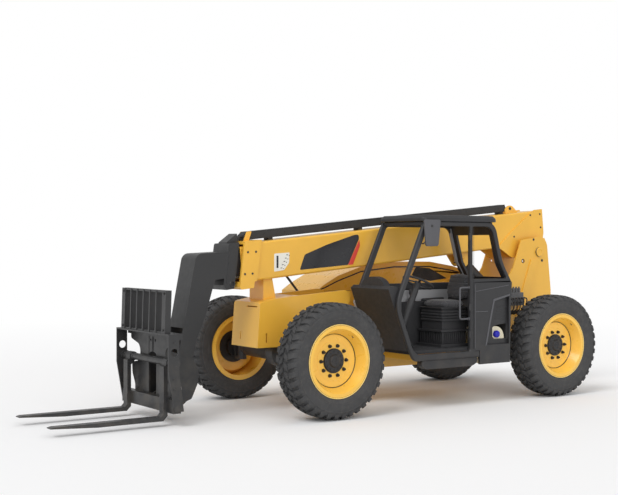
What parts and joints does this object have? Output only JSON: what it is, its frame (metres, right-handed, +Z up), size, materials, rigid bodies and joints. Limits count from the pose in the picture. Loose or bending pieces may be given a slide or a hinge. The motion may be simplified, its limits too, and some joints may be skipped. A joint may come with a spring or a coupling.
{
  "type": "telehandler",
  "caption": "Telescopic handler with a side cab, a rear-pivoted two-stage boom, a tilting fork carriage, side engine pod and four steered wheels.",
  "frame": {"origin": "on the ground under the middle of the machine, forks included", "axes": "+Z up, -Y towards the fork tips, +X to the cab side"},
  "size_m": [2.439, 7.15, 2.4346],
  "materials": {
    "yellow_paint": "gloss",
    "wheel_paint": "gloss",
    "black_paint": "satin",
    "cab_paint": "satin",
    "light_grey": "satin",
    "steel": "satin",
    "chrome": "polished",
    "black_plastic": "matte",
    "rubber_mat": "matte",
    "cream_tank": "satin",
    "blue_cap": "gloss",
    "seat_cover": "woven",
    "engine": "cast",
    "hood_panel": "gloss",
    "tyre": "rubber"
  },
  "bodies": {
    "chassis": {"frame": "yellow_paint", "boom_tower": "yellow_paint", "pivot_pins": "steel", "cab_frame": "cab_paint", "cab_right_wall": "light_grey", "cab_roof": "cab_paint", "cab_front": "black_plastic", "cab_rear": "cab_paint", "cab_floor": "rubber_mat", "side_panel": "cab_paint", "side_tank": "cream_tank", "tank_cap": "blue_cap", "steering_column": "black_plastic", "steering_wheel": "black_plastic", "seat": "seat_cover", "seat_base": "black_plastic", "console": "black_plastic", "pod_panels": "yellow_paint", "engine": "engine", "mirrors": "black_plastic", "axle_front": "black_paint", "axle_rear": "black_paint"},
    "hood": {"hood": "hood_panel"},
    "boom_outer": {"boom_outer": "yellow_paint", "hose_carrier": "black_plastic"},
    "boom_middle": {"boom_mid": "yellow_paint"},
    "boom_inner": {"boom_fly": "black_paint", "gooseneck": "black_paint", "tilt_pin": "steel"},
    "fork_carriage": {"carriage": "black_paint", "backrest": "black_paint", "fork_shaft": "black_paint", "forks": "black_paint"},
    "lift_cylinder_barrel": {"lift_barrel": "black_paint"},
    "lift_cylinder_rod": {"lift_rod": "chrome"},
    "tilt_cylinder_barrel": {"tilt_barrel": "black_paint"},
    "tilt_cylinder_rod": {"tilt_rod": "chrome"},
    "knuckle_front_left": {"knuckle_fl": "black_paint"},
    "wheel_front_left": {"rim_fl": "wheel_paint", "hub_fl": "black_paint", "tyre_fl": "tyre"},
    "knuckle_front_right": {"knuckle_fr": "black_paint"},
    "wheel_front_right": {"rim_fr": "wheel_paint", "hub_fr": "black_paint", "tyre_fr": "tyre"},
    "knuckle_rear_left": {"knuckle_rl": "black_paint"},
    "wheel_rear_left": {"rim_rl": "wheel_paint", "hub_rl": "black_paint", "tyre_rl": "tyre"},
    "knuckle_rear_right": {"knuckle_rr": "black_paint"},
    "wheel_rear_right": {"rim_rr": "wheel_paint", "hub_rr": "black_paint", "tyre_rr": "tyre"}
  },
  "joints": [
    {"name": "steer_front_left", "type": "hinge", "parent": "chassis", "child": "knuckle_front_left", "pos_m": [0.847, -0.605, 0.633], "axis": [0, 0, 1], "range_deg": [-30, 30]},
    {"name": "spin_front_left", "type": "hinge", "parent": "knuckle_front_left", "child": "wheel_front_left", "pos_m": [1.037, -0.605, 0.633], "axis": [1, 0, 0], "continuous": true},
    {"name": "steer_front_right", "type": "hinge", "parent": "chassis", "child": "knuckle_front_right", "pos_m": [-0.847, -0.605, 0.633], "axis": [0, 0, 1], "range_deg": [-30, 30]},
    {"name": "spin_front_right", "type": "hinge", "parent": "knuckle_front_right", "child": "wheel_front_right", "pos_m": [-1.037, -0.605, 0.633], "axis": [1, 0, 0], "continuous": true},
    {"name": "steer_rear_left", "type": "hinge", "parent": "chassis", "child": "knuckle_rear_left", "pos_m": [0.847, 2.825, 0.633], "axis": [0, 0, 1], "range_deg": [-30, 30]},
    {"name": "spin_rear_left", "type": "hinge", "parent": "knuckle_rear_left", "child": "wheel_rear_left", "pos_m": [1.037, 2.825, 0.633], "axis": [1, 0, 0], "continuous": true},
    {"name": "steer_rear_right", "type": "hinge", "parent": "chassis", "child": "knuckle_rear_right", "pos_m": [-0.847, 2.825, 0.633], "axis": [0, 0, 1], "range_deg": [-30, 30]},
    {"name": "spin_rear_right", "type": "hinge", "parent": "knuckle_rear_right", "child": "wheel_rear_right", "pos_m": [-1.037, 2.825, 0.633], "axis": [1, 0, 0], "continuous": true},
    {"name": "hood_hinge", "type": "hinge", "parent": "chassis", "child": "hood", "pos_m": [-0.74, 2.6, 1.512], "axis": [-1, 0, 0], "range_deg": [0, 50]},
    {"name": "boom_lift", "type": "hinge", "parent": "chassis", "child": "boom_outer", "pos_m": [0, 3.345, 1.799], "axis": [-1, 0, 0], "range_deg": [0, 72]},
    {"name": "boom_extend_middle", "type": "slide", "parent": "boom_outer", "child": "boom_middle", "axis": [0, -0.9952, -0.0976], "range_m": [0, 3.2]},
    {"name": "boom_extend_inner", "type": "slide", "parent": "boom_middle", "child": "boom_inner", "axis": [0, -0.9952, -0.0976], "range_m": [0, 3.2]},
    {"name": "carriage_tilt", "type": "hinge", "parent": "boom_inner", "child": "fork_carriage", "pos_m": [0, -2.025, 0.343], "axis": [-1, 0, 0], "range_deg": [-98, 10]},
    {"name": "lift_barrel_swing", "type": "hinge", "parent": "chassis", "child": "lift_cylinder_barrel", "pos_m": [0, 3.145, 0.913], "axis": [-1, 0, 0], "range_deg": [0, 44.4]},
    {"name": "lift_rod_slide", "type": "slide", "parent": "lift_cylinder_barrel", "child": "lift_cylinder_rod", "axis": [0, -0.7772, 0.6292], "range_m": [0, 0.787]},
    {"name": "tilt_barrel_swing", "type": "hinge", "parent": "boom_inner", "child": "tilt_cylinder_barrel", "pos_m": [0, -1.75, 1.56], "axis": [1, 0, 0], "range_deg": [-0.4, 1.5]},
    {"name": "tilt_rod_slide", "type": "slide", "parent": "tilt_cylinder_barrel", "child": "tilt_cylinder_rod", "axis": [0, -0.108, -0.9941], "range_m": [-0.303, 0.033]}
  ],
  "couplings": [
    {"joint": "steer_front_right", "follows": "steer_front_left", "ratio": 1},
    {"joint": "steer_rear_right", "follows": "steer_rear_left", "ratio": 1},
    {"joint": "boom_extend_inner", "follows": "boom_extend_middle", "ratio": 1},
    {"joint": "lift_barrel_swing", "follows": "boom_lift", "ratio": 0.61},
    {"joint": "lift_rod_slide", "follows": "boom_lift", "m_per_rad": 0.6247},
    {"joint": "tilt_barrel_swing", "follows": "carriage_tilt", "ratio": -0.012},
    {"joint": "tilt_rod_slide", "follows": "carriage_tilt", "m_per_rad": 0.176}
  ]
}
